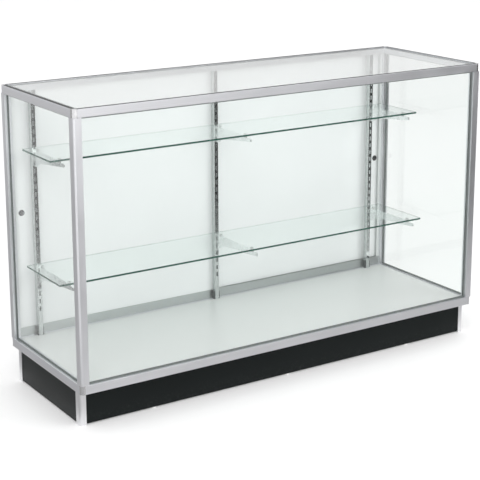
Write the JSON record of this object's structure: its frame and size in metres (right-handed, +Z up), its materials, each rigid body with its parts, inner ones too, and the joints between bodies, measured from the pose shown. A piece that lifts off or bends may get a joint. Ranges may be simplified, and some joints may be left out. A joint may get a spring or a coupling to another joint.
{
  "type": "floor-standing glass counter showcase",
  "caption": "Long aluminium-framed glass counter display case on a black kick base, with glass shelves on slotted standards and white bypass sliding doors at the back.",
  "frame": {"origin": "on the floor, centred under the case", "axes": "+X along the width of the case, +Y towards the sliding doors on the clerk side (-Y is the customer side), +Z up"},
  "size_m": [1.524, 0.508, 0.965],
  "materials": {
    "frame_aluminium": "satin",
    "trim_aluminium": "satin",
    "track_aluminium": "satin",
    "casting": "polished",
    "clear_glass": "polished",
    "shelf_glass": "polished",
    "seal_rubber": "matte",
    "pad_rubber": "matte",
    "white_laminate": "satin",
    "black_laminate": "satin",
    "door_board": "satin",
    "standard_steel": "polished",
    "bracket_steel": "polished",
    "zinc_steel": "satin",
    "dark_plastic": "matte",
    "nylon": "matte",
    "pull_plated": "polished",
    "pull_black": "satin"
  },
  "bodies": {
    "case": {"base_brackets": "zinc_steel", "base_glides": "nylon", "bottom_corner_castings": "casting", "bottom_rail_front": "frame_aluminium", "bottom_rail_left": "frame_aluminium", "bottom_rail_rear": "frame_aluminium", "bottom_rail_right": "frame_aluminium", "bracket_lower_left": "bracket_steel", "bracket_lower_middle": "bracket_steel", "bracket_lower_right": "bracket_steel", "bracket_screws": "zinc_steel", "bracket_upper_left": "bracket_steel", "bracket_upper_middle": "bracket_steel", "bracket_upper_right": "bracket_steel", "deck_panel": "white_laminate", "door_jamb_left": "track_aluminium", "door_jamb_right": "track_aluminium", "door_track_bottom": "track_aluminium", "door_track_top": "track_aluminium", "glass_front": "clear_glass", "glass_left": "clear_glass", "glass_right": "clear_glass", "glass_top": "clear_glass", "kick_board_front": "black_laminate", "kick_board_left": "black_laminate", "kick_board_rear": "black_laminate", "kick_board_right": "black_laminate", "kick_trim_front_left": "trim_aluminium", "kick_trim_front_right": "trim_aluminium", "kick_trim_rear_left": "trim_aluminium", "kick_trim_rear_right": "trim_aluminium", "post_front_left": "frame_aluminium", "post_front_right": "frame_aluminium", "post_rear_left": "frame_aluminium", "post_rear_right": "frame_aluminium", "seal_front": "seal_rubber", "seal_left": "seal_rubber", "seal_right": "seal_rubber", "seal_top": "seal_rubber", "shelf_pads_lower": "pad_rubber", "shelf_pads_upper": "pad_rubber", "standard_feet": "dark_plastic", "standard_left": "standard_steel", "standard_middle": "standard_steel", "standard_right": "standard_steel", "standard_top_clips": "zinc_steel", "top_corner_castings": "casting", "top_rail_front": "frame_aluminium", "top_rail_left": "frame_aluminium", "top_rail_rear": "frame_aluminium", "top_rail_right": "frame_aluminium"},
    "left_door": {"door_left": "door_board", "finger_pull_left": "pull_plated", "door_glides_left": "nylon"},
    "right_door": {"door_right": "door_board", "finger_pull_right": "pull_black", "door_glides_right": "nylon"},
    "upper_shelf": {"shelf_upper": "shelf_glass"},
    "lower_shelf": {"shelf_lower": "shelf_glass"}
  },
  "joints": [
    {"name": "left_door_slide", "type": "slide", "parent": "case", "child": "left_door", "axis": [1, 0, 0], "range_m": [0, 0.715]},
    {"name": "right_door_slide", "type": "slide", "parent": "case", "child": "right_door", "axis": [-1, 0, 0], "range_m": [0, 0.715]},
    {"name": "upper_shelf_lift", "type": "slide", "parent": "case", "child": "upper_shelf", "axis": [0, 0, 1], "range_m": [0, 0.12]},
    {"name": "lower_shelf_lift", "type": "slide", "parent": "case", "child": "lower_shelf", "axis": [0, 0, 1], "range_m": [0, 0.12]}
  ]
}
